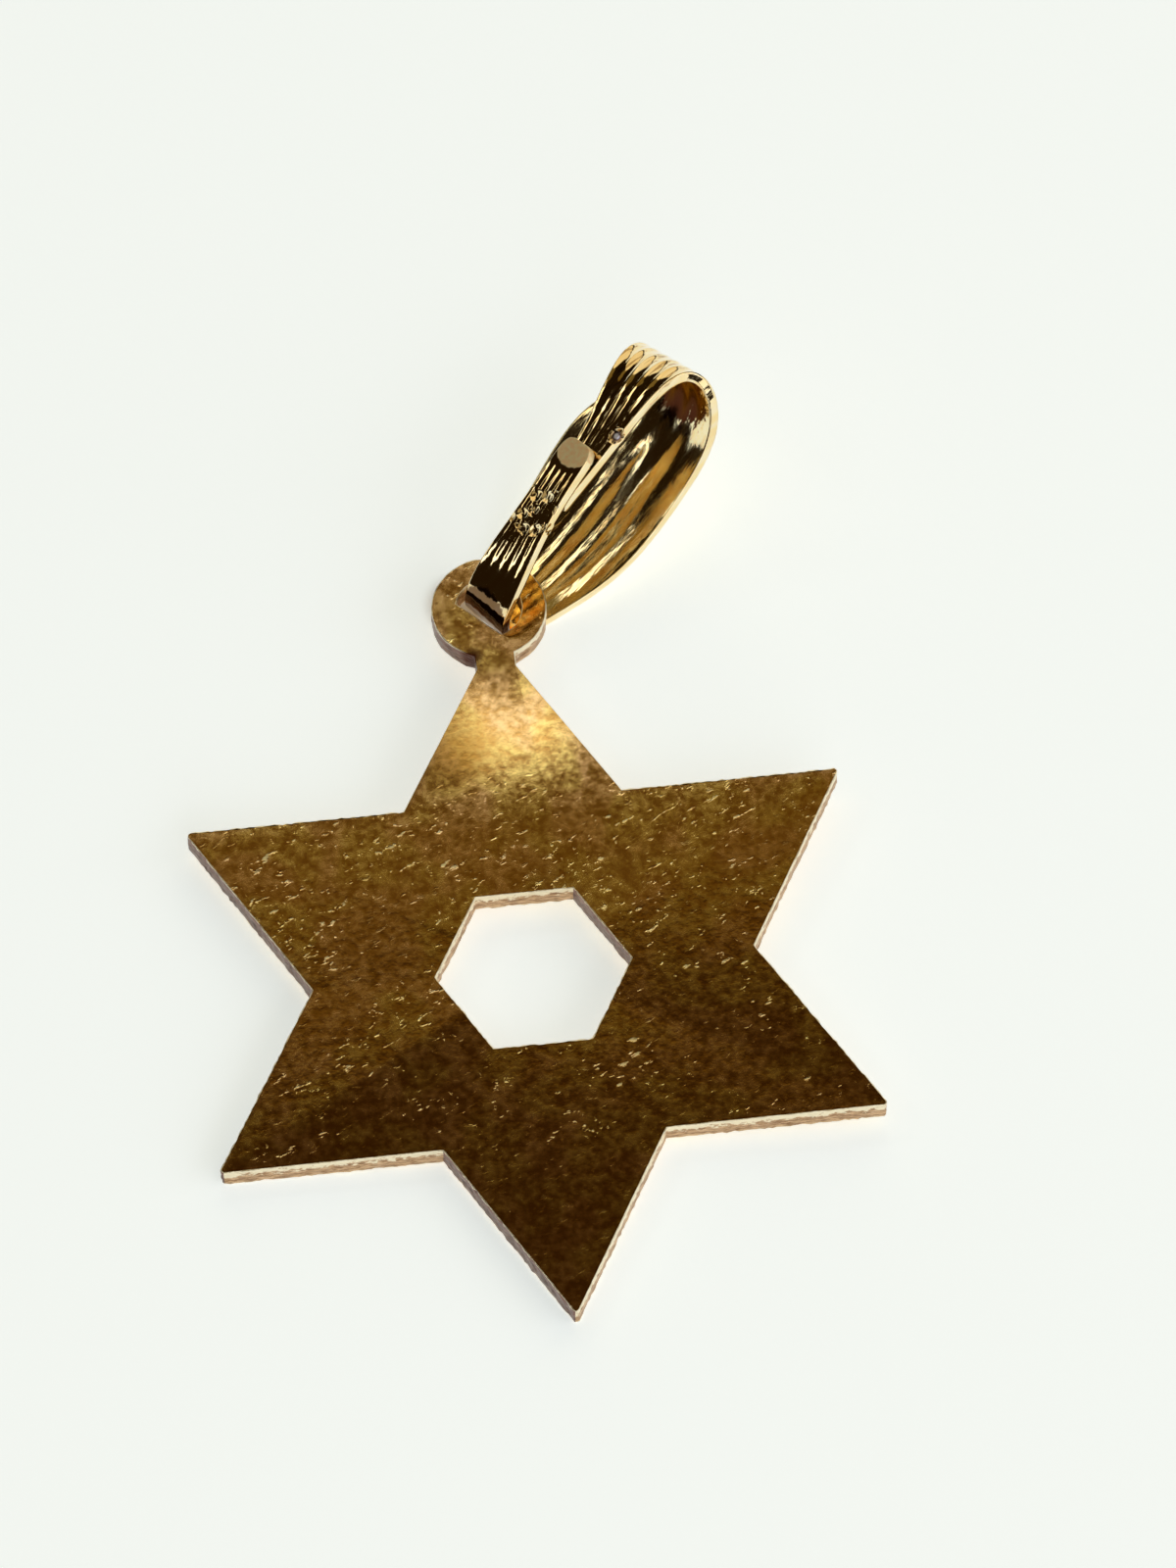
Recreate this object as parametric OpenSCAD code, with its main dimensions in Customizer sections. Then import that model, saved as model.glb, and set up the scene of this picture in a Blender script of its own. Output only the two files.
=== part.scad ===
// Six-pointed star pendant, sawn from flat sheet, lying on a surface with its
// folded bail hooked through the eye. Millimetres, +Z up.
// Origin: on the surface, under the middle of the whole pendant.

/* [Star] */
// Radius of the circle that the six tips would reach if they were sharp
star_r = 10.5; // [9:0.25:13]
// Thickness of the sheet
sheet_t = 0.75; // [0.6:0.05:1]
// Width of the six-sided window across its flats
window_w = 4.6; // [3:0.1:5.6]
// Radius of the rounding on the tips
tip_round = 0.12; // [0.06:0.02:0.3]

/* [Eye] */
// Radius of the round eye
eye_r = 1.63; // [1.5:0.02:1.8]
// Height of the eye's middle above the sharp top tip
eye_rise = 0.93; // [0.6:0.05:1.1]
// Radius of the round side of the eye's hole
hole_r = 0.9; // [0.84:0.02:1]
// Distance from the eye's middle to the flat side of its hole
hole_flat = 0.43; // [0.4:0.01:0.6]
// Way that the hole's round side faces, clockwise from the top tip
hole_turn = 44; // [40:1:56]
// Width of the neck between the top tip and the eye
neck_w = 1.16; // [0.9:0.02:1.5]

/* [Bail] */
// Length of the bail, from its bend in the eye to the top of its loop
bail_l = 9; // [8:0.25:11]
// How far the bail's two sides bulge beyond the faces of the sheet
bail_bulge = 1.65; // [1.5:0.05:1.9]
// Width of the strip where its lower side, which is worn as its front, is widest
front_w = 4.2; // [3.5:0.05:4.7]
// Width of the tongue
tongue_w = 1.1; // [0.9:0.05:1.4]
// Thickness of the strip
strip_t = 0.3; // [0.24:0.01:0.34]
// Number of flutes along the strip
flutes = 5; // [3:1:7]
// Depth of the flutes
flute_d = 0.06; // [0.02:0.01:0.08]
// Hairline seam between the tongue and the end that it is soldered on
seam = 0.04; // [0.03:0.01:0.06]
// Length of the tongue's rounded end
tongue_round = 0.5; // [0.3:0.05:0.8]
// Gap between the bail and the hole that it hooks through
bail_gap = 0.1; // [0.06:0.01:0.14]
// How far the bail has slid sideways in the hole
bail_shift = 0.05; // [0:0.01:0.06]
// Way that the bail points, clockwise from the top tip
bail_turn = 51; // [46:1:56]
// Slope at which the bail rises from the sheet
bail_slope = 12.5; // [10:0.5:15]
// Twist of the loop about the bail's length
bail_twist = 25; // [15:1:30]

/* [Hidden] */
$fn = 96;
TOP = 90;
STAR_TIPS = 6;
TIP_SIDE = 60;
HALF_STEP = 180 / STAR_TIPS;
NOTCH_SHARE = 1 / sqrt(3);
TIP_STEPS = 3;

eye_y = star_r + eye_rise;
neck_y = star_r - neck_w / 2 / tan(TIP_SIDE / 2);
bend_back = hole_flat - bail_gap - strip_t / 2;
bend_w = 2 * (sqrt(pow(hole_r, 2) - pow(bend_back + strip_t / 2, 2)) - bail_gap);
half_clear = sheet_t / 2 + strip_t / 2 + bail_gap;

// The bail's strip, from the end of the tongue, round the bend in the eye, along
// the lower side, round the top of the loop and back to the end under the tongue.
// along is a share of bail_l. grip is the side of the sheet that the strip passes,
// 1 over it and -1 under it. bulge is a share of bail_bulge. lap is 1 where the tongue
// lies on the strip's other end. wide is -1 at tongue_w, 0 at the width of the bend,
// 1 at front_w and -2 where the hidden end tapers away. roll is a share of bail_twist,
// flute a share of flute_d, and side how far the strip's middle lies off the bail's
// line, as a share of front_w.
BAIL_ROWS = [
  // along, grip, bulge, lap, wide, roll, flute, side
  [0.58,  1.0,  0.70, 1.0, -0.80, 0.80, 0.00,  0.00],
  [0.39,  1.0,  0.51, 1.0, -1.00, 0.68, 0.35,  0.00],
  [0.23,  1.0,  0.44, 0.5, -0.45, 0.42, 0.35,  0.00],
  [0.10,  1.0,  0.34, 0.0,  0.02, 0.15, 0.20,  0.00],
  [0.02,  1.0,  0.01, 0.0,  0.00, 0.00, 0.10,  0.00],
  [0.00, -0.3,  0.00, 0.0,  0.00, 0.00, 0.10,  0.00],
  [0.04, -1.0, -0.27, 0.0,  0.05, 0.02, 0.30, -0.02],
  [0.20, -1.0, -0.45, 0.0,  0.50, 0.04, 0.80, -0.10],
  [0.43, -1.0, -0.44, 0.0,  0.88, 0.04, 1.00, -0.08],
  [0.74, -1.0, -0.08, 0.0,  1.05, 0.20, 1.00, -0.20],
  [0.92, -0.5,  0.18, 0.0,  0.76, 0.90, 0.90, -0.10],
  [0.99,  0.5,  0.48, 0.0,  0.52, 1.28, 0.75, -0.01],
  [0.95,  1.0,  0.88, 0.0,  0.38, 1.15, 0.65,  0.00],
  [0.82,  1.0,  1.00, 0.0,  0.15, 0.90, 0.50,  0.00],
  [0.65,  1.0,  0.77, 0.0, -0.70, 0.74, 0.45,  0.00],
  [0.39,  1.0,  0.46, 0.0, -2.00, 0.60, 0.00,  0.00],
];
LAST = len(BAIL_ROWS) - 1;
SPAN_STEPS = 6;
FLUTE_STEPS = 4;
ACROSS = flutes * FLUTE_STEPS;
// Stations close together at the tongue's round end, then evenly spaced
END_STATIONS = [0, 0.04, 0.1, 0.2, 0.36, 0.6, 0.8];
STATIONS = concat(END_STATIONS, [for (k = [SPAN_STEPS : LAST * SPAN_STEPS]) k / SPAN_STEPS]);
// Width that the tongue's end keeps, as a share
TONGUE_END = 0.45;

function ring_point(r, a) = [r * cos(a), r * sin(a)];

// Outline of the star, anticlockwise, with an arc at each tip
function star_outline() = [
  for (i = [0 : STAR_TIPS - 1])
    let (way = TOP + i * 360 / STAR_TIPS)
    each concat(
      [for (k = [-TIP_STEPS : TIP_STEPS])
        ring_point(star_r - tip_round / sin(TIP_SIDE / 2), way)
          + ring_point(tip_round, way + k * TIP_SIDE / TIP_STEPS)],
      [ring_point(star_r * NOTCH_SHARE, way + HALF_STEP)]
    )
];

// One row of the table in real sizes: along, height, width, roll, flute depth and side
function bail_row(row) =
  let (
    height = row[1] * half_clear + row[2] * bail_bulge + row[3] * (strip_t + seam),
    spread = row[4] < 0 ? bend_w - tongue_w : front_w - bend_w
  )
  [row[0] * bail_l, height, bend_w + row[4] * spread, row[5] * bail_twist, row[6] * flute_d, row[7] * front_w];

ROWS = [for (row = BAIL_ROWS) bail_row(row)];
PADDED = concat([2 * ROWS[0] - ROWS[1]], ROWS, [2 * ROWS[LAST] - ROWS[LAST - 1]]);

// Smooth curve through the rows, by cubic blending of four neighbours
function blend(t) = [
  pow(1 - t, 3),
  3 * pow(t, 3) - 6 * pow(t, 2) + 4,
  -3 * pow(t, 3) + 3 * pow(t, 2) + 3 * t + 1,
  pow(t, 3)
] / 6;
function strip_at(s) =
  let (i = min(floor(s), LAST - 1), b = blend(s - i))
  b[0] * PADDED[i] + b[1] * PADDED[i + 1] + b[2] * PADDED[i + 2] + b[3] * PADDED[i + 3];

// Way out of the folded strip at a station, as along and height
function way_out(s) =
  let (
    step = 0.01,
    run = strip_at(min(s + step, LAST)) - strip_at(max(s - step, 0)),
    length = norm([run[0], run[1]])
  )
  [run[1], -run[0]] / length;

// Share of the full width that the tongue's rounded end has at a station
function end_share(s) =
  let (
    from_end = norm([for (k = [0 : 1]) strip_at(s)[k] - ROWS[0][k]]),
    left = s < LAST / 2 ? max(0, 1 - from_end / tongue_round) : 0
  )
  TONGUE_END + (1 - TONGUE_END) * sqrt(1 - pow(left, 2));

// A point of the strip in the pendant's own frame, with the sheet's top face at zero.
// u runs across the strip from -1 to 1, and off is measured from its middle outwards.
function bail_point(s, u, off, share = 1) =
  let (
    row = strip_at(s),
    out = way_out(s),
    side = u * row[2] / 2 * share + row[5],
    along = row[0] + out[0] * off,
    height = row[1] + out[1] * off,
    rolled = [side * cos(row[3]) - height * sin(row[3]), along, side * sin(row[3]) + height * cos(row[3])],
    sloped = [
      rolled[0] + bail_shift,
      rolled[1] * cos(bail_slope) - rolled[2] * sin(bail_slope) - bend_back,
      rolled[1] * sin(bail_slope) + rolled[2] * cos(bail_slope)
    ]
  )
  [
    sloped[0] * cos(bail_turn) + sloped[1] * sin(bail_turn),
    eye_y - sloped[0] * sin(bail_turn) + sloped[1] * cos(bail_turn),
    sloped[2] - sheet_t / 2
  ];

// Outer face: round flutes with sharp ridges between them
function outer_off(s, u) = strip_t / 2 - strip_at(s)[4] * abs(sin(180 * flutes * (u + 1) / 2));
// Inner face: a soft groove behind each ridge
function inner_off(s, u) = -strip_t / 2
  + (abs(u) < 1 - 1 / flutes ? strip_at(s)[4] * (1 + cos(360 * flutes * (u + 1) / 2)) / 2 : 0);

function across(k) = -1 + 2 * k / ACROSS;
function strip_ring(s) = concat(
  [for (k = [0 : ACROSS]) bail_point(s, across(k), outer_off(s, across(k)), end_share(s))],
  [for (k = [ACROSS : -1 : 0]) bail_point(s, across(k), inner_off(s, across(k)), end_share(s))]
);

STRIP_RINGS = [for (s = STATIONS) strip_ring(s)];

// Triangles between rings that each run out along one face and back along the other
function ring_faces(rings, n) =
  let (half = n / 2)
  concat(
    [for (i = [0 : rings - 2], j = [0 : n - 1])
      let (a = i * n + j, b = i * n + (j + 1) % n)
      each [[a, b, a + n], [b, b + n, a + n]]],
    [for (j = [0 : half - 2])
      let (c = n - 1 - j, last = (rings - 1) * n)
      each [
        [j, c, j + 1], [j + 1, c, c - 1],
        [last + j, last + j + 1, last + c], [last + j + 1, last + c - 1, last + c]
      ]]
  );

// Rest on the surface: the pendant stands on its two lower left tips and the bail,
// so it tilts about the line through those tips.
tilt_axis = [cos(HALF_STEP), -sin(HALF_STEP), 0];
tilt_way = [sin(HALF_STEP), cos(HALF_STEP), 0];
tip_reach = (star_r - tip_round / sin(TIP_SIDE / 2)) * cos(HALF_STEP) + tip_round;
rest_rise = max([for (ring = STRIP_RINGS, q = ring) -(q[2] + sheet_t) / (q * tilt_way + tip_reach)]);
rest_tilt = atan(rest_rise);

function tilted(q) =
  let (p = q + [0, 0, sheet_t], along_axis = tilt_axis * (tilt_axis * p))
  along_axis + (p - along_axis) * cos(rest_tilt) + cross(tilt_axis, p) * sin(rest_tilt);

BOUNDS = concat(
  [for (ring = STRIP_RINGS, q = ring) tilted(q)],
  [for (q = star_outline(), z = [0, -sheet_t]) tilted([q[0], q[1], z])]
);
function low(k) = min([for (q = BOUNDS) q[k]]);
function high(k) = max([for (q = BOUNDS) q[k]]);
middle = [(low(0) + high(0)) / 2, (low(1) + high(1)) / 2, low(2)];

module at_rest() {
  translate(-middle)
    rotate(a = rest_tilt, v = tilt_axis)
      translate([0, 0, sheet_t])
        children();
}

module eye_hole() {
  rotate(-hole_turn)
    intersection() {
      circle(r = hole_r);
      translate([-hole_r, -hole_flat]) square([2 * hole_r, hole_flat + hole_r]);
    }
}

module star_plate() {
  color([0.56, 0.43, 0.2])
    at_rest()
      translate([0, 0, -sheet_t])
        linear_extrude(height = sheet_t)
          difference() {
            union() {
              polygon(star_outline());
              translate([0, eye_y]) circle(r = eye_r);
              translate([-neck_w / 2, neck_y]) square([neck_w, eye_y - neck_y]);
            }
            circle(d = window_w / cos(HALF_STEP), $fn = STAR_TIPS);
            translate([0, eye_y]) eye_hole();
          }
}

module bail() {
  color([0.8, 0.65, 0.38])
    at_rest()
      polyhedron(
        points = [for (ring = STRIP_RINGS) each ring],
        faces = ring_faces(len(STRIP_RINGS), len(STRIP_RINGS[0])),
        convexity = 8
      );
}

star_plate();
bail();
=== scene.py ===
"""A worn gold star pendant with a fluted bail, lying on a pale surface in soft light."""
import math
import bpy
from mathutils import Matrix, Vector


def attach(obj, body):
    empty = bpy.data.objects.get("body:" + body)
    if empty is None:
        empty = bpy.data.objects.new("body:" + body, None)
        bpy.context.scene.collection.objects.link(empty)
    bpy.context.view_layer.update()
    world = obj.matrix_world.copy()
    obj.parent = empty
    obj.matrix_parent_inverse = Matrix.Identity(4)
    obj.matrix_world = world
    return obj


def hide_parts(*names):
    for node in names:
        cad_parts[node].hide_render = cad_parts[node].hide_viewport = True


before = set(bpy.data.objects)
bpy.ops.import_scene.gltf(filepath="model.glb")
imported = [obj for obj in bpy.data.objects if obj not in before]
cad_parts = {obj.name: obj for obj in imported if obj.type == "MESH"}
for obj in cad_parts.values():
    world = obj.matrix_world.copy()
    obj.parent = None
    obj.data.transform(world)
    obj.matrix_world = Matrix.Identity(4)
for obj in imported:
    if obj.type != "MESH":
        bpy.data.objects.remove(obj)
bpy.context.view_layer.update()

MM = 0.001
EAST = Vector((1, 0, 0))
NORTH = Vector((0, 1, 0))
UP = Vector((0, 0, 1))

# The star's own sizes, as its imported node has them
STAR_R = 10.5 * MM
TIP_ROUND = 0.12 * MM
EYE_RISE = 0.93 * MM
TIPS = 6

# Places on the star and under it
NECK_PIT = Vector((-0.60, 6.04, 1.15)) * MM
# Middle of the painted shade on the left of the star's top arm
TIP_SHADE_PLACE = Vector((-1.60, 3.00, 1.25)) * MM
UNDER_EYE = Vector((-0.60, 8.60, 0)) * MM

# Places on the bail, and the way that its tongue faces
LOOP_MIDDLE = Vector((5.0, 12.3, 3.6)) * MM
LOOP_TOP_OUTSIDE = Vector((4.6, 12.9, 5.3)) * MM
LOOP_TOP_INSIDE = Vector((6.0, 12.8, 3.9)) * MM
HOLE_BEND = Vector((-0.15, 7.40, 1.35)) * MM
TONGUE_TIP = Vector((2.924, 10.809, 4.399)) * MM
TONGUE_UP = Vector((-0.51, -0.01, 0.86))
PUNCH_MARKS = Vector((1.5, 9.27, 3.51)) * MM
STRIP_PIT = Vector((3.90, 10.76, 4.60)) * MM

# Way that the bail's strip runs, from +X towards +Y, in degrees
STRIP_WAY = 39

# Least lean of a face's normal on the sheet's own up, for the flat faces and for the rim by the walls
FLAT_UP = 0.99
RIM_UP = 0.2

# Numbers of the material slots
FACE_SLOT, RIM_SLOT, SAWN_SLOT, SHADED_WALL_SLOT = range(4)
OUTSIDE_SLOT, INSIDE_SLOT, TONGUE_END_SLOT = range(3)

# The camera, from the photo's own perspective. Its lens and sensor are in millimetres
CAMERA_AT = Vector((-11.674, -102.037, 174.407)) * MM
CAMERA_TARGET = Vector((2.203, 2.372, 0)) * MM
CAMERA_ROLL = math.radians(1.237)
CAMERA_LENS = 168.75
SENSOR = 36
CAMERA_NEAR = 0.01
CAMERA_FAR = 10


def pick_none():
    bpy.ops.object.select_all(action="DESELECT")


def pick(piece):
    pick_none()
    piece.select_set(True)
    bpy.context.view_layer.objects.active = piece


class EditMode:
    """Edit mode on one piece, with nothing selected and the given kind of element picked."""

    def __init__(self, piece, kind="FACE"):
        self.piece = piece
        self.kind = kind

    def __enter__(self):
        pick(self.piece)
        bpy.ops.object.mode_set(mode="EDIT")
        bpy.ops.mesh.select_mode(type=self.kind)
        bpy.ops.mesh.select_all(action="DESELECT")

    def __exit__(self, *error):
        bpy.ops.object.mode_set(mode="OBJECT")


def select_edges(piece, rule):
    """Selects the edges that a rule names, from inside edit mode with nothing selected."""
    bpy.ops.object.mode_set(mode="OBJECT")
    for edge in piece.data.edges:
        edge.select = rule(edge)
    bpy.ops.object.mode_set(mode="EDIT")


def apply_modifier(piece, kind, **settings):
    pick(piece)
    modifier = piece.modifiers.new(kind.lower(), kind)
    for key, value in settings.items():
        setattr(modifier, key, value)
    bpy.ops.object.modifier_apply(modifier=modifier.name)


MERGE_NEAR = 0.0005 * MM
CUT_NEAR = 0.001 * MM


def merged_copy(node, name):
    """A copy of a CAD node's mesh, with its loose triangles joined at their corners."""
    piece = bpy.data.objects.new(name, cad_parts[node].data.copy())
    bpy.context.scene.collection.objects.link(piece)
    piece.data.materials.clear()
    with EditMode(piece, "VERT"):
        bpy.ops.mesh.select_all(action="SELECT")
        bpy.ops.mesh.remove_doubles(threshold=MERGE_NEAR)
    return piece


def plate_frame():
    """The sheet's own axes and the star's middle on its top face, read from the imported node."""
    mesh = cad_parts["star_plate"].data
    top = max(mesh.polygons, key=lambda face: face.area * (face.normal.z > FLAT_UP))
    turn = UP.rotation_difference(top.normal).to_matrix()
    back = turn.transposed()
    flat = [back @ vertex.co for vertex in mesh.vertices]
    across = [point.x for point in flat]
    middle = Vector((
        (min(across) + max(across)) / 2,
        min(point.y for point in flat) + STAR_R - TIP_ROUND,
        max(point.z for point in flat),
    ))
    return Matrix.Translation(turn @ middle) @ turn.to_4x4()


PLATE = plate_frame()
TO_PLATE = PLATE.inverted()
PLATE_UP = PLATE.to_3x3() @ UP


class Value:
    """A socket in a material's nodes. Arithmetic on it adds Math nodes."""

    def __init__(self, finish, socket):
        self.finish = finish
        self.socket = socket

    def math(self, operation, other):
        return self.finish.add("ShaderNodeMath", {"operation": operation}, {0: self, 1: other})

    def __add__(self, other):
        return self.math("ADD", other)

    def __mul__(self, other):
        return self.math("MULTIPLY", other)

    def __sub__(self, other):
        return self.math("SUBTRACT", other)

    def __rsub__(self, other):
        return self.finish.add("ShaderNodeMath", {"operation": "SUBTRACT"}, {0: other, 1: self})

    __radd__ = __add__
    __rmul__ = __mul__

    def ramp(self, low, high):
        """0 below low and 1 above high, smoothly. low may be the larger."""
        return self.finish.add("ShaderNodeMapRange", {"interpolation_type": "SMOOTHSTEP"},
                               {"Value": self, "From Min": low, "From Max": high})


class Finish:
    """A material with its own nodes, wired from names and numbers."""

    def __init__(self, name, **settings):
        self.material = bpy.data.materials.new(name)
        self.material.use_nodes = True
        self.nodes = self.material.node_tree.nodes
        self.links = self.material.node_tree.links
        self.shader = self.nodes["Principled BSDF"]
        self.place = self.add("ShaderNodeTexCoord", out="Object")
        self.wire(**settings)

    def feed(self, socket, value):
        if isinstance(value, Value):
            self.links.new(value.socket, socket)
        elif socket.type == "RGBA":
            socket.default_value = (*value, 1)
        else:
            socket.default_value = value

    def add(self, kind, settings=None, values=None, out=0):
        node = self.nodes.new(kind)
        for key, value in (settings or {}).items():
            setattr(node, key, value)
        for key, value in (values or {}).items():
            self.feed(node.inputs[key], value)
        return Value(self, node.outputs[out])

    def vector_math(self, operation, first, second, out=0):
        return self.add("ShaderNodeVectorMath", {"operation": operation}, {0: first, 1: second}, out)

    def stretched(self, size, turn=(0, 0, 0)):
        """Coordinates in which a pattern cell is size millimetres along each turned axis."""
        values = {"Vector": self.place, "Rotation": tuple(math.radians(angle) for angle in turn)}
        turned = self.add("ShaderNodeMapping", {"vector_type": "POINT"}, values)
        return self.vector_math("MULTIPLY", turned, tuple(1 / (length * MM) for length in size))

    def noise(self, size, detail, rough, turn=(0, 0, 0)):
        """Noise from 0 to 1, with cells of one size or of a size along each turned axis."""
        size = size if isinstance(size, tuple) else (size, size, size)
        values = {"Scale": 1.0, "Detail": detail, "Roughness": rough}
        return self.add("ShaderNodeTexNoise", values={"Vector": self.stretched(size, turn), **values})

    def on_sheet(self, way):
        """Millimetres from the star's middle, on its top face, along one of the sheet's own ways."""
        offset = self.vector_math("SUBTRACT", self.place, PLATE.translation)
        return self.vector_math("DOT_PRODUCT", offset, PLATE.to_3x3() @ way, out="Value") * (1 / MM)

    def near(self, place, inner, outer):
        """1 within the inner distance of a place and 0 beyond the outer one, in millimetres."""
        away = self.vector_math("DISTANCE", self.place, place, out="Value")
        return (away * (1 / MM)).ramp(outer, inner)

    def dimples(self, size):
        """Distance from the nearest of many scattered points, in cells."""
        values = {"Vector": self.stretched((size, size, size)), "Scale": 1.0, "Randomness": 0.8}
        return self.add("ShaderNodeTexVoronoi", values=values, out="Distance")

    def mix(self, share, first, second):
        """A colour between two colours."""
        return self.add("ShaderNodeMix", {"data_type": "RGBA"}, {0: share, 6: first, 7: second}, out=2)

    def bump(self, height, depth, under=None):
        """Relief of the given depth in millimetres on a height from 0 to 1."""
        values = {"Height": height, "Distance": depth * MM, "Strength": 1.0}
        if under:
            values["Normal"] = under
        return self.add("ShaderNodeBump", values=values)

    def wire(self, **values):
        """Sets or links the shader's own sockets and gives the material."""
        for key, value in values.items():
            self.feed(self.shader.inputs[key.replace("_", " ")], value)
        return self.material


# Colours of the star's faces
FACE_DEEP = (0.56, 0.30, 0.08)
FACE_ROSE = (0.97, 0.62, 0.28)
FACE_YELLOW = (0.95, 0.68, 0.22)
FACE_PAINTED_SHADE = (0.36, 0.18, 0.035)
FACE_FLECK = (1.0, 0.90, 0.54)
FACE_PIT = (0.13, 0.04, 0.012)
WALL_PIT = (0.09, 0.022, 0.008)

# Colours of the bail
STRIP_DEEP = (0.97, 0.74, 0.38)
STRIP_PALE = (1.0, 0.84, 0.54)
STRIP_WORN = (0.40, 0.24, 0.08)
STRIP_BEND_SHADE = (0.12, 0.05, 0.02)
PIT_PAINTED_SHADE = (0.10, 0.04, 0.03)
PIT_PAINTED_HIGHLIGHT = (0.85, 0.85, 1.0)
DULL_DEEP = (1.0, 0.68, 0.33)
DULL_PALE = (1.0, 0.82, 0.46)
INSIDE_DEEP = (0.93, 0.70, 0.36)
INSIDE_PALE = (1.0, 0.87, 0.55)
INSIDE_DARK = (0.07, 0.020, 0.009)
INSIDE_EDGE = (1.0, 0.75, 0.45)

# Way of the scratches on the faces, and of the marks along the strip, as turns in degrees
ALONG_SCRATCH = (0, 0, -24)
ALONG_STRIP = (0, 0, -STRIP_WAY)


# Where the faces' finish changes, in millimetres up the sheet from the star's middle. A bright band lies
# across the top tip, with scratches below and beyond it and two slight bows of the sheet in it
BELOW_BAND = (6.4, 4.4)
BEYOND_BAND = (10.3, 10.9)
GRAINY = (6.6, 4.6)
TIP_BOW = (4.5, 9.6)
EYE_BOW = (8.3, 11.5)

# Where the walls' painted highlights lie, by the rim and by the back face, in millimetres up from the
# sheet's top face
RIM_HIGHLIGHT_RISE = (-0.32, -0.20)
FOOT_HIGHLIGHT_RISE = (-0.62, -0.72)


def sheet_face_finish():
    """Hazy, scratched gold of the star's flat faces, whose top tip bows down towards the neck, with
    painted shade on the left of the top arm.
    """
    finish = Finish("sheet_face", Metallic=1.0)
    clouds = finish.noise(0.50, 3.0, 0.6)
    grain = finish.noise(0.21, 2.0, 0.55)
    along = finish.on_sheet(NORTH)
    across = finish.on_sheet(EAST)
    crowd = (finish.noise(1.3, 3.0, 0.6) + along * 0.014).ramp(0.47, 0.66)
    scratch = finish.noise((0.38, 0.16, 0.3), 2.5, 0.6, turn=ALONG_SCRATCH).ramp(0.62, 0.72)
    sparkle = finish.noise(0.20, 3.0, 0.6).ramp(0.65, 0.75)
    off_band = along.ramp(*BELOW_BAND).math("MAXIMUM", along.ramp(*BEYOND_BAND))
    marks = scratch.math("MAXIMUM", sparkle) * (crowd * 0.9 + 0.1) * off_band

    tone = (clouds * 0.55 + grain * 0.45).ramp(0.34, 0.66)
    tint = finish.noise(1.6, 1.0, 0.5).ramp(0.42, 0.58)
    colour = finish.mix(tone, FACE_DEEP, finish.mix(tint, FACE_ROSE, FACE_YELLOW))
    # Painted shade: the face is darkened on the left of the top arm
    colour = finish.mix(finish.near(TIP_SHADE_PLACE, 0.3, 2.1) * 0.85, colour, FACE_PAINTED_SHADE)
    colour = finish.mix(marks, colour, FACE_FLECK)
    colour = finish.mix(finish.near(NECK_PIT, 0.18, 0.38), colour, FACE_PIT)
    rough = 0.075 + tone * 0.04 + marks * 0.36

    bow = along.ramp(*TIP_BOW) * (1 - across * across * 0.08).math("MAXIMUM", 0.6)
    relief = finish.bump(bow, -0.10)
    relief = finish.bump(along.ramp(*EYE_BOW), -0.012, relief)
    relief = finish.bump(grain * (along.ramp(*GRAINY) * 0.72 + 0.28), 0.002, relief)
    relief = finish.bump(marks, -0.006, relief)
    return finish.wire(Base_Color=colour, Roughness=rough, Normal=relief)


def wall_finish(name, dark, light, rim, rough, grit_depth):
    """Gold of the star's walls: streaks along the wall, lumps in relief, a painted highlight in the rim
    colour along the top that the lumps break up, and a fainter one at the foot.
    """
    finish = Finish(name, Metallic=1.0, Roughness=rough)
    streaks = finish.noise((0.40, 0.40, 0.07), 4.0, 0.7)
    lumps = finish.noise((0.22, 0.22, 0.14), 3.0, 0.6)
    colour = finish.mix(streaks.ramp(0.35, 0.65), dark, light)
    above = finish.on_sheet(UP)
    # The rim colour, pale on most walls, is a painted highlight along the top of the wall and, fainter,
    # at its foot
    rim_highlight = (above + (lumps - 0.5) * 0.9).ramp(*RIM_HIGHLIGHT_RISE)
    colour = finish.mix(rim_highlight, colour, rim)
    colour = finish.mix(above.ramp(*FOOT_HIGHLIGHT_RISE) * 0.45, colour, rim)
    colour = finish.mix(finish.near(NECK_PIT, 0.25, 0.50), colour, WALL_PIT)
    relief = finish.bump(streaks, grit_depth)
    relief = finish.bump(lumps, 0.04, relief)
    return finish.wire(Base_Color=colour, Normal=relief)


def strip_relief(finish, depth):
    """Waves along the strip and fine unevenness of its hand finish."""
    swell = finish.noise((1.6, 0.18, 0.3), 2.0, 0.5, turn=ALONG_STRIP)
    fine = finish.noise((0.50, 0.06, 0.10), 2.0, 0.6, turn=ALONG_STRIP)
    relief = finish.bump(swell, depth)
    return swell, fine, finish.bump(fine, 0.0008, relief)


def polished(finish):
    """The swell, colour, roughness and relief of the bail's polished outer side."""
    swell, fine, relief = strip_relief(finish, 0.006)
    colour = finish.mix(swell.ramp(0.35, 0.7), STRIP_DEEP, STRIP_PALE)
    return swell, colour, 0.05 + fine.ramp(0.4, 0.8) * 0.05, relief


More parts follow.
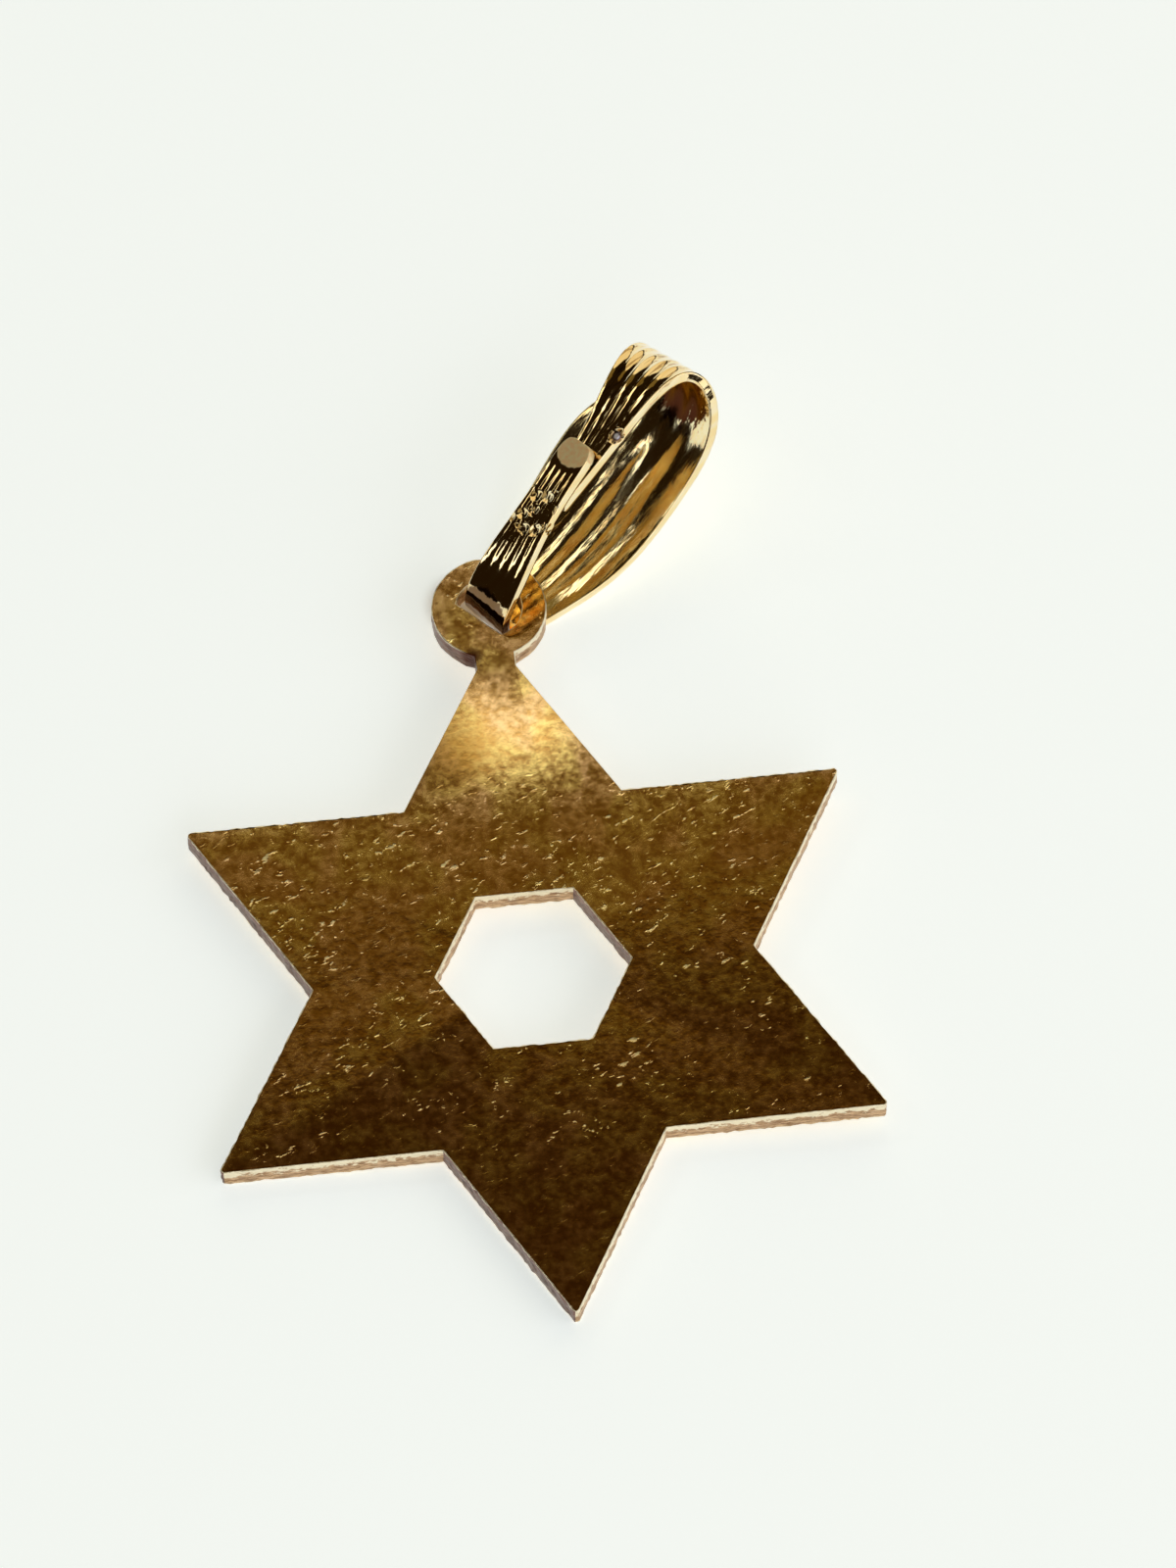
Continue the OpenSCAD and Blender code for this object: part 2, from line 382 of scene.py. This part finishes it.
def bail_finish():
    """Polished gold of the bail's outer side, with punch dents on the tongue, painted shade where it
    bends into the eye, and a pit by its end with a painted dark ring and a painted highlight.
    """
    finish = Finish("bright_strip")
    swell, colour, rough, relief = polished(finish)
    streaks = finish.noise((1.5, 0.13, 0.3), 4.0, 0.65, turn=ALONG_STRIP)
    worn = streaks.ramp(0.52, 0.62) * finish.near(LOOP_TOP_OUTSIDE, 1.0, 2.2)
    # Painted shade darkens the strip where it bends down into the eye
    bend_painted_shade = (finish.near(HOLE_BEND, 0.6, 1.1) + streaks - 0.5).ramp(0.35, 0.65)
    colour = finish.mix(worn * 0.8, colour, STRIP_WORN)
    colour = finish.mix(bend_painted_shade * 0.9, colour, STRIP_BEND_SHADE)
    punched = (finish.near(PUNCH_MARKS, 0.45, 1.05) + (swell - 0.5) * 0.8).ramp(0.38, 0.50)
    dents = finish.dimples(0.44).ramp(0.52, 0.18) * punched
    # The pit is dented in relief. Its dark ring is painted shade, and the pale non-metal dot at its
    # floor is a painted highlight
    pit = finish.near(STRIP_PIT, 0.10, 0.28)
    pit_painted_highlight = finish.near(STRIP_PIT, 0.06, 0.12)
    colour = finish.mix(pit, colour, PIT_PAINTED_SHADE)
    colour = finish.mix(pit_painted_highlight, colour, PIT_PAINTED_HIGHLIGHT)
    relief = finish.bump(dents, -0.09, relief)
    relief = finish.bump(pit, -0.12, relief)
    return finish.wire(Base_Color=colour, Roughness=rough, Metallic=1 - pit_painted_highlight, Normal=relief)


def tongue_end_finish():
    """The same gold as the outer side, going over into the dull hammered end of the tongue."""
    finish = Finish("tongue_end")
    swell, colour, rough, relief = polished(finish)
    grain = finish.noise(0.14, 3.0, 0.6)
    end = (finish.near(TONGUE_TIP, 0.60, 0.98) + (swell - 0.5) * 0.7).ramp(0.35, 0.60)
    colour = finish.mix(end, colour, finish.mix(grain.ramp(0.35, 0.65), DULL_DEEP, DULL_PALE))
    relief = finish.bump(grain * end, 0.01, relief)
    relief = finish.bump(finish.near(TONGUE_TIP, 0.0, 1.0), 0.14, relief)
    rough = rough + end * 0.38
    return finish.wire(Base_Color=colour, Roughness=rough, Metallic=1 - end * 0.85, Normal=relief)


def bail_inside_finish():
    """Gold of the bail's inner side, turning dark under the top of the loop."""
    finish = Finish("inner_strip", Metallic=1.0, Specular_Tint=INSIDE_EDGE)
    swell, fine, relief = strip_relief(finish, 0.009)
    blotch = finish.noise((0.9, 0.14, 0.3), 3.0, 0.65, turn=ALONG_STRIP)
    colour = finish.mix(swell.ramp(0.3, 0.6), INSIDE_DEEP, INSIDE_PALE)
    dark_under_loop = (finish.near(LOOP_TOP_INSIDE, 0.5, 2.1) + (blotch - 0.5) * 1.6).ramp(0.42, 0.62)
    colour = finish.mix(dark_under_loop, colour, INSIDE_DARK)
    relief = finish.bump(blotch, 0.004, relief)
    rough = 0.10 + fine.ramp(0.4, 0.8) * 0.06 + dark_under_loop * 0.10
    return finish.wire(Base_Color=colour, Roughness=rough, Normal=relief)


# The bevel round the star's faces, and the size, depth and middle level of the saw's marks on its walls
RIM_BEVEL = 0.045 * MM
SAW_CELL = 0.12 * MM
SAW_DEPTH = 0.09 * MM
SAW_MIDDLE = 0.78

# Lengths, in millimetres, of the arms' walls and of the halves of the window's walls
WALL_LENGTHS = ((5, 7), (1.2, 1.45))
WALL_ROWS = 5
TALL_EDGE = 0.5 * MM

# Lean of an edge on the sheet's own up: at most this along a wall, and at least this down it
ALONG_UP = 0.1
DOWN_UP = 0.9

# How far to the sheet's left a wall faces when it gets the darker wall gold, which paints shade on it
SHADED_WALL_WAY = -0.3

# Angles above which an edge of the sheet is a corner, and below which its triangles make one face
SHEET_CORNER = math.radians(50)
SHEET_FLAT = math.radians(1.5)

# Angles above which an edge of the bail is a ridge or a corner. A corner gets both creases
FLUTE_ANGLE = math.radians(20)
CORNER_ANGLE = math.radians(50)
RIDGE_CREASE = 0.5
CORNER_CREASE = 0.35

# Limits within which two triangles of the bail make one four-sided face
QUAD_BEND = math.radians(60)
QUAD_SKEW = math.radians(179)

# The tongue's end: how far it reaches from its tip, and how far down from its top
TONGUE_END = 1.3 * MM
TONGUE_DEEP = -0.15 * MM

# Size and depth of the small unevenness along the strip
STRIP_CELL = 0.4 * MM
STRIP_DEPTH = 0.008 * MM


def edge_sides(mesh):
    """For each edge, the faces that it lies between."""
    edges = {edge.key: edge.index for edge in mesh.edges}
    sides = [[] for edge in mesh.edges]
    for face in mesh.polygons:
        for key in face.edge_keys:
            sides[edges[key]].append(face.index)
    return sides


def is_flat(face):
    return abs(face.normal.dot(PLATE_UP)) > FLAT_UP


def length_and_lean(mesh, edge):
    """An edge's length, and how far it leans on the sheet's own up."""
    start, end = (mesh.vertices[index].co for index in edge.vertices)
    return (end - start).length, abs((end - start).normalized().dot(PLATE_UP))


def bent_edges(mesh, angle):
    """The edges whose two faces meet at more than an angle."""
    normals = [face.normal.copy() for face in mesh.polygons]
    return {index for index, faces in enumerate(edge_sides(mesh))
            if len(faces) == 2 and normals[faces[0]].angle(normals[faces[1]]) > angle}


def cut(piece, place, way):
    """Cuts a piece's faces along a plane, keeps both sides and marks the new edges as seams."""
    with EditMode(piece, "EDGE"):
        bpy.ops.mesh.select_all(action="SELECT")
        bpy.ops.mesh.bisect(plane_co=place, plane_no=way, threshold=CUT_NEAR)
        bpy.ops.mesh.mark_seam(clear=False)


def sheet_slot(face):
    """Material slot of a face of the star: the walls that look to its left get a darker copy of the wall
    gold, painted shade.
    """
    if is_flat(face):
        return FACE_SLOT
    if abs(face.normal.dot(PLATE_UP)) > RIM_UP:
        return RIM_SLOT
    way = TO_PLATE.to_3x3() @ face.normal
    return SHADED_WALL_SLOT if way.x < SHADED_WALL_WAY else SAWN_SLOT


def star_sheet():
    """The star with its eye: a sawn sheet with small bevels round its faces and rough walls."""
    piece = merged_copy("star_plate", "star_sheet")
    mesh = piece.data

    # Cuts through the middles of the star and of the eye leave no face with a hole in it
    to_world = PLATE.to_3x3()
    for step in range(TIPS):
        angle = math.pi * step / TIPS
        cut(piece, PLATE.translation, to_world @ Vector((math.cos(angle), math.sin(angle), 0)))
    cut(piece, PLATE @ (NORTH * (STAR_R + EYE_RISE)), to_world @ NORTH)
    with EditMode(piece):
        bpy.ops.mesh.select_all(action="SELECT")
        bpy.ops.mesh.dissolve_limited(angle_limit=SHEET_FLAT, delimit={"SEAM"})

    sides = edge_sides(mesh)
    flat = [is_flat(face) for face in mesh.polygons]
    with EditMode(piece, "EDGE"):
        select_edges(piece, lambda edge: sum(flat[face] for face in sides[edge.index]) == 1)
        bpy.ops.mesh.bevel(offset=RIM_BEVEL, offset_type="OFFSET", segments=2, affect="EDGES")

    # Cut the walls into small cells for the marks of the saw
    for low, high in WALL_LENGTHS:
        sides = edge_sides(mesh)
        flat = [is_flat(face) for face in mesh.polygons]

        def runs_along_wall(edge):
            length, up = length_and_lean(mesh, edge)
            on_wall = not all(flat[face] for face in sides[edge.index])
            return on_wall and up < ALONG_UP and low * MM < length < high * MM

        with EditMode(piece, "EDGE"):
            select_edges(piece, runs_along_wall)
            bpy.ops.mesh.subdivide(number_cuts=round((low + high) / 2 * MM / SAW_CELL))

    def runs_down_wall(edge):
        length, up = length_and_lean(mesh, edge)
        return up > DOWN_UP and length > TALL_EDGE

    with EditMode(piece, "EDGE"):
        select_edges(piece, runs_down_wall)
        bpy.ops.mesh.subdivide(number_cuts=WALL_ROWS - 1)

    for finish in (
        sheet_face_finish(),
        # The bevels round the faces are painted pale gold as their highlight
        wall_finish(
            "sawn_rim_painted_highlight", rough=0.34, grit_depth=0.02,
            dark=(0.95, 0.78, 0.50), light=(1.0, 0.88, 0.66), rim=(1.0, 0.92, 0.72),
        ),
        wall_finish(
            "sawn_wall", rough=0.36, grit_depth=0.03,
            dark=(0.30, 0.15, 0.06), light=(0.78, 0.52, 0.30), rim=(1.0, 0.88, 0.64),
        ),
        # The walls that look left get this darker, smoother copy of the wall gold, which paints shade on
        # them
        wall_finish(
            "smooth_wall_painted_shade", rough=0.30, grit_depth=0.006,
            dark=(0.10, 0.05, 0.035), light=(0.26, 0.15, 0.11), rim=(0.24, 0.13, 0.10),
        ),
    ):
        mesh.materials.append(finish)
    for face in mesh.polygons:
        face.material_index = sheet_slot(face)

    # Roughen the walls alone
    wall_group = piece.vertex_groups.new(name="walls")
    on_walls = {index for face in mesh.polygons if not is_flat(face) for index in face.vertices}
    wall_group.add(sorted(on_walls), 1, "REPLACE")
    marks = bpy.data.textures.new("saw_marks", "CLOUDS")
    marks.noise_scale = SAW_CELL
    apply_modifier(piece, "DISPLACE", texture=marks, vertex_group="walls", strength=SAW_DEPTH,
                   mid_level=SAW_MIDDLE, texture_coords="LOCAL")
    pick(piece)
    bpy.ops.object.shade_smooth_by_angle(angle=SHEET_CORNER)
    apply_modifier(piece, "WEIGHTED_NORMAL", mode="FACE_AREA", weight=100, keep_sharp=True)
    return piece


def bail_strip():
    """The bail: one folded strip, smoothed between the ridges of its flutes."""
    piece = merged_copy("bail", "bail_strip")
    mesh = piece.data
    with EditMode(piece):
        bpy.ops.mesh.select_all(action="SELECT")
        bpy.ops.mesh.tris_convert_to_quads(face_threshold=QUAD_BEND, shape_threshold=QUAD_SKEW)

    # Side edges stay crisp, and the ridges between the flutes nearly so
    for angle, crease in ((FLUTE_ANGLE, RIDGE_CREASE), (CORNER_ANGLE, CORNER_CREASE)):
        bent = bent_edges(mesh, angle)
        with EditMode(piece, "EDGE"):
            select_edges(piece, lambda edge: edge.index in bent)
            bpy.ops.transform.edge_crease(value=crease)
    for finish in (bail_finish(), bail_inside_finish(), tongue_end_finish()):
        mesh.materials.append(finish)
    for face in mesh.polygons:
        tip_way = face.center - TONGUE_TIP
        if tip_way.length < TONGUE_END and tip_way.dot(TONGUE_UP) > TONGUE_DEEP:
            face.material_index = TONGUE_END_SLOT
        elif face.normal.dot(LOOP_MIDDLE - face.center) > 0:
            face.material_index = INSIDE_SLOT
        else:
            face.material_index = OUTSIDE_SLOT
    apply_modifier(piece, "SUBSURF", levels=2, render_levels=2)
    dents = bpy.data.textures.new("strip_dents", "CLOUDS")
    dents.noise_scale = STRIP_CELL
    apply_modifier(piece, "DISPLACE", texture=dents, strength=STRIP_DEPTH, texture_coords="LOCAL")
    pick(piece)
    bpy.ops.object.shade_smooth_by_angle(angle=CORNER_ANGLE)
    return piece


SURFACE_SIZE = 1.2
SURFACE_PALE = (0.80, 0.85, 0.95)
SURFACE_GLOW = (0.54, 0.585, 0.58)
SHADED_GLOW = (0.08, 0.05, 0.035)


def surface():
    """The pale surface that the pendant lies on, which isn't part of it."""
    bpy.ops.mesh.primitive_plane_add(size=SURFACE_SIZE, location=(0, 0, 0))
    floor = bpy.context.active_object
    floor.name = "surface"
    finish = Finish("pale_surface", Base_Color=SURFACE_PALE, Roughness=0.9, Emission_Strength=1.0)
    # The surface's own glow stands in for light from all round, which doesn't reach under the eye
    glow = finish.mix(finish.near(UNDER_EYE, 0.5, 1.3), SURFACE_GLOW, SHADED_GLOW)
    floor.data.materials.append(finish.wire(Emission_Color=glow))


def lamp(name, place, size, radiance, colour, turn=None):
    """A panel with the given radiance, aimed at the middle of the surface, or down with a turn."""
    light = bpy.data.lights.new(name, "AREA")
    light.shape = "RECTANGLE"
    light.size, light.size_y = size
    light.energy = radiance * math.pi * size[0] * size[1]
    light.color = colour
    lamp_object = bpy.data.objects.new(name, light)
    lamp_object.location = place
    if turn is None:
        lamp_object.rotation_euler = (-Vector(place)).to_track_quat("-Z", "Y").to_euler()
    else:
        lamp_object.rotation_euler = (0, 0, turn)
    bpy.context.scene.collection.objects.link(lamp_object)


def sky_way(elevation, azimuth):
    """Direction at an elevation, with the azimuth from +Y towards +X, in degrees."""
    rise = math.radians(elevation)
    turn = math.radians(azimuth)
    return Vector((math.cos(rise) * math.sin(turn), math.cos(rise) * math.cos(turn), math.sin(rise)))


def panel(name, low, high, azimuth, wide, radiance, colour, far=0.7):
    """A panel that fills the elevations from low to high at an azimuth, in degrees."""
    tall = 2 * far * math.tan(math.radians(high - low) / 2)
    lamp(name, sky_way((low + high) / 2, azimuth) * far, (wide, tall), radiance, colour)


# A level row of windows beyond the bail: its height in metres, and for a height of one the ends of each
# window's near edge, from west to east, and the depth of the row
WINDOW_HEIGHT = 0.7
WINDOW_WEST = Vector((-1.06, 0.495))
WINDOW_POST = Vector((-0.34, 0.567))
WINDOW_JOIN = Vector((-0.13, 0.587))
WINDOW_EAST = Vector((0.13, 0.615))
WINDOW_DEEP = 0.17


def window_light(name, west, east, radiance, colour):
    """A level panel whose near edge runs between two points, given for a height of one."""
    way = (east - west).normalized()
    middle = ((west + east) / 2 + Vector((-way.y, way.x)) * WINDOW_DEEP / 2) * WINDOW_HEIGHT
    size = ((east - west).length * WINDOW_HEIGHT, WINDOW_DEEP * WINDOW_HEIGHT)
    lamp(name, (middle.x, middle.y, WINDOW_HEIGHT), size, radiance, colour, math.atan2(way.y, way.x))


def lighting():
    """A dim warm room, with its windows, walls and ceiling as soft panels."""
    world = bpy.data.worlds.new("dim_room")
    world.use_nodes = True
    room = world.node_tree.nodes["Background"].inputs
    room["Color"].default_value = (0.014, 0.007, 0.0015, 1)
    room["Strength"].default_value = 1.0
    bpy.context.scene.world = world
    window_light("west_window", WINDOW_WEST, WINDOW_POST, radiance=2.0, colour=(1.0, 0.92, 0.72))
    window_light("north_window", WINDOW_JOIN, WINDOW_EAST, radiance=2.3, colour=(0.90, 0.97, 0.98))
    lamp("ceiling", place=(0.15, -0.38, 0.5), size=(1.1, 0.8), radiance=0.34, colour=(1.0, 0.84, 0.50),
         turn=math.radians(27))
    panel("corner_light", 43, 48, azimuth=-92, wide=0.3, radiance=2.0, colour=(1.0, 0.96, 0.84))
    panel("side_light", 5, 46, azimuth=135, wide=1.3, radiance=1.2, colour=(0.985, 1.0, 1.0), far=0.6)
    panel("ceiling_glow", 40, 64.5, azimuth=5, wide=0.9, radiance=0.14, colour=(1.0, 0.70, 0.18))
    panel("upper_glow", 63, 74, azimuth=2, wide=0.6, radiance=0.028, colour=(1.0, 0.50, 0.08))
    panel("far_wall", 4, 50, azimuth=18, wide=0.9, radiance=0.85, colour=(1.0, 0.86, 0.56))


def camera():
    """The camera at the photo's viewing angle."""
    lens = bpy.data.cameras.new("camera")
    lens.sensor_fit = "VERTICAL"
    lens.sensor_height = SENSOR
    lens.lens = CAMERA_LENS
    lens.clip_start = CAMERA_NEAR
    lens.clip_end = CAMERA_FAR
    view = bpy.data.objects.new("camera", lens)
    way = CAMERA_TARGET - CAMERA_AT
    turn = way.to_track_quat("-Z", "Y").to_matrix() @ Matrix.Rotation(CAMERA_ROLL, 3, "Z")
    view.matrix_world = Matrix.Translation(CAMERA_AT) @ turn.to_4x4()
    bpy.context.scene.collection.objects.link(view)
    bpy.context.scene.camera = view


# The CAD nodes come in selected
pick_none()
camera()
surface()
lighting()
star = star_sheet()
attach(star, "root")
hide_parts("star_plate")
bail = bail_strip()
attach(bail, "root")
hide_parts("bail")

view_settings = bpy.context.scene.view_settings
view_settings.view_transform = "Standard"
view_settings.look = "None"
